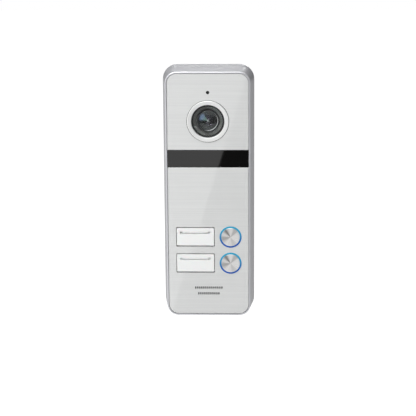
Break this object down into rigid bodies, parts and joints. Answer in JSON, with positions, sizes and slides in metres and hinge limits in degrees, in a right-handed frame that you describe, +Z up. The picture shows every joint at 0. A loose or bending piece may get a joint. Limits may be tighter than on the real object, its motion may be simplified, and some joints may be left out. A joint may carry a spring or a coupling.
{
  "type": "video intercom outdoor call station",
  "caption": "Slim wall-mounted video door station: camera window, night-vision strip, two lit call buttons with name plates, slotted speaker grille, microphone hole.",
  "frame": {"origin": "middle of the housing's outline, on the wall plane that the bracket's back lies on", "axes": "+Z up, +Y into the wall, +X to the visitor's right; the station stands out along -Y"},
  "size_m": [0.068, 0.0235, 0.1906],
  "materials": {
    "housing_paint": "satin silver-grey powder coat",
    "face_aluminium": "fine horizontal brushing, clear anodised",
    "tape_foam": "thin black foam tape",
    "smoked_acrylic": "infrared-clear black, polished",
    "bezel_chrome": "bright satin chrome",
    "window_glass": "clear, anti-reflection coated",
    "seal_rubber": "black moulded seal",
    "optics_black": "matt black, light-trapping",
    "lens_glass": "blue-green anti-reflection coating",
    "filter_glass": "pink infrared cut filter",
    "sensor_package": "image sensor package with cover glass",
    "board_laminate": "green solder mask",
    "zinc_steel": "zinc-plated",
    "stainless_steel": "bright stainless",
    "led_resin": "water-clear infrared lamp resin",
    "photocell_ceramic": "photocell with serpentine track",
    "silicone": "translucent silicone",
    "capsule_can": "pressed can",
    "foam_black": "closed-cell foam",
    "basket_steel": "black pressed steel",
    "cone_paper": "treated black paper",
    "magnet_plating": "nickel-plated magnet",
    "lamp_package": "white lamp package",
    "chip_epoxy": "black moulded package",
    "capacitor_can": "bare can with a dark sleeve mark",
    "trimmer_blue": "blue thermoplastic",
    "rotor_white": "white acetal",
    "socket_nylon": "natural nylon",
    "pin_tinned_brass": "tinned brass",
    "rear_plastic": "black ABS, fine texture",
    "bracket_zinc": "zinc-plated sheet",
    "cap_aluminium": "spun, clear anodised",
    "plunger_plastic": "white acetal",
    "carbon_rubber": "carbon-loaded rubber",
    "halo_blue": "blue light pipe, lit from behind",
    "opal_acrylic": "frosted white acrylic, polished front",
    "card_stock": "blank white card",
    "tray_white": "white light-diffusing ABS"
  },
  "bodies": {
    "station": {"front_housing": "housing_paint", "upper_face_plate": "face_aluminium", "lower_face_plate": "face_aluminium", "face_plate_tape": "tape_foam", "night_vision_window": "smoked_acrylic", "camera_bezel_ring": "bezel_chrome", "camera_window": "window_glass", "camera_window_seal": "seal_rubber", "camera_bezel_seal": "seal_rubber", "lens_shroud": "optics_black", "lens_barrel": "optics_black", "lens_front_glass": "lens_glass", "lens_lock_ring": "optics_black", "lens_holder": "optics_black", "ir_cut_filter": "filter_glass", "image_sensor": "sensor_package", "camera_board": "board_laminate", "internal_screws": "zinc_steel", "night_vision_leds": "led_resin", "light_sensor": "photocell_ceramic", "night_vision_board": "board_laminate", "microphone_boot": "silicone", "microphone_capsule": "capsule_can", "speaker_mesh": "stainless_steel", "speaker_gasket": "foam_black", "speaker_basket": "basket_steel", "speaker_cone": "cone_paper", "speaker_magnet": "magnet_plating", "speaker_clamp": "zinc_steel", "main_board": "board_laminate", "backlight_leds": "lamp_package", "board_chips": "chip_epoxy", "board_capacitors": "capacitor_can", "volume_trimmer_body": "trimmer_blue", "cable_socket": "socket_nylon", "cable_socket_pins": "pin_tinned_brass", "rear_cover": "rear_plastic", "rear_cover_seal": "seal_rubber", "rear_cover_screws": "zinc_steel", "wall_bracket": "bracket_zinc", "security_screw": "stainless_steel", "wall_gasket": "foam_black", "button_halo_1": "halo_blue", "button_dome_1": "silicone", "nameplate_light_box_1": "tray_white", "button_halo_2": "halo_blue", "button_dome_2": "silicone", "nameplate_light_box_2": "tray_white"},
    "volume_trimmer": {"volume_trimmer_rotor": "rotor_white"},
    "call_button_1": {"button_cap_1": "cap_aluminium", "button_plunger_1": "plunger_plastic", "button_pill_1": "carbon_rubber"},
    "nameplate_1": {"nameplate_cover_1": "opal_acrylic", "name_card_1": "card_stock"},
    "call_button_2": {"button_cap_2": "cap_aluminium", "button_plunger_2": "plunger_plastic", "button_pill_2": "carbon_rubber"},
    "nameplate_2": {"nameplate_cover_2": "opal_acrylic", "name_card_2": "card_stock"}
  },
  "joints": [
    {"name": "call_button_1_press", "type": "slide", "parent": "station", "child": "call_button_1", "axis": [0, 1, 0], "range_m": [0, 0.0012], "stiffness_N_per_m": 800, "springref_m": -0.0015, "deforming": ["button_dome_1"]},
    {"name": "call_button_2_press", "type": "slide", "parent": "station", "child": "call_button_2", "axis": [0, 1, 0], "range_m": [0, 0.0012], "stiffness_N_per_m": 800, "springref_m": -0.0015, "deforming": ["button_dome_2"]},
    {"name": "nameplate_1_pull", "type": "slide", "parent": "station", "child": "nameplate_1", "axis": [0, -1, 0], "range_m": [0, 0.012]},
    {"name": "nameplate_2_pull", "type": "slide", "parent": "station", "child": "nameplate_2", "axis": [0, -1, 0], "range_m": [0, 0.012]},
    {"name": "volume_trimmer_turn", "type": "hinge", "parent": "station", "child": "volume_trimmer", "pos_m": [0.013, -0.0085, -0.022], "axis": [0, 1, 0], "range_deg": [-135, 135]}
  ]
}
